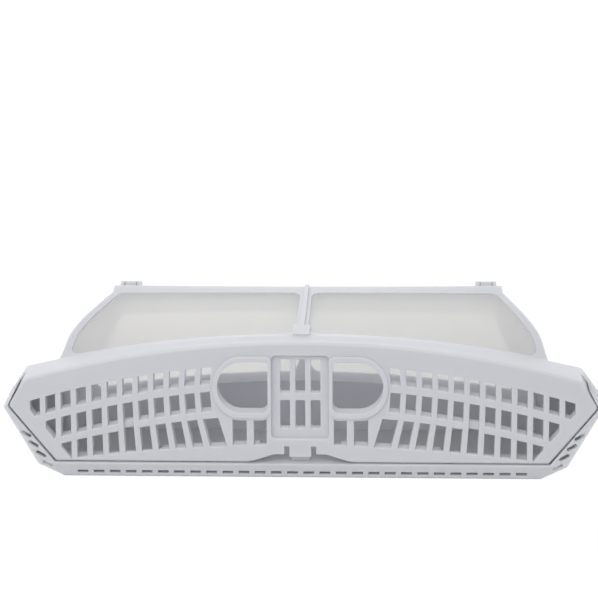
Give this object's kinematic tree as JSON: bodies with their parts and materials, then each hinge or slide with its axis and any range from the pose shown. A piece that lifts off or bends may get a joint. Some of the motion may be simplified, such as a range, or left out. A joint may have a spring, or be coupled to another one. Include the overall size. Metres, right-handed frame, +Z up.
{
  "type": "tumble dryer filter",
  "caption": "Tumble dryer lint filter: arched grille with finger holes on a hinged upper half, over a slotted tray with a wedge-shaped mesh pouch.",
  "frame": {"origin": "middle of the box's width and depth, on the surface that the tray rests on", "axes": "+X along the width, +Y from the grille to the hinge, +Z up with the tray lying on its floor"},
  "size_m": [0.4, 0.1274, 0.0872],
  "materials": {
    "white_plastic": "satin moulded plastic",
    "nylon_mesh": "fine white nylon mesh"
  },
  "bodies": {
    "lower_half": {"lower_tray": "white_plastic", "lower_mesh_left": "nylon_mesh", "lower_mesh_right": "nylon_mesh"},
    "upper_half": {"front_grille": "white_plastic", "upper_frame": "white_plastic", "upper_mesh_left": "nylon_mesh", "upper_mesh_right": "nylon_mesh"}
  },
  "joints": [
    {"name": "filter_hinge", "type": "hinge", "parent": "lower_half", "child": "upper_half", "pos_m": [0, 0.0593, 0.0825], "axis": [-1, 0, 0], "range_deg": [0, 110]}
  ]
}
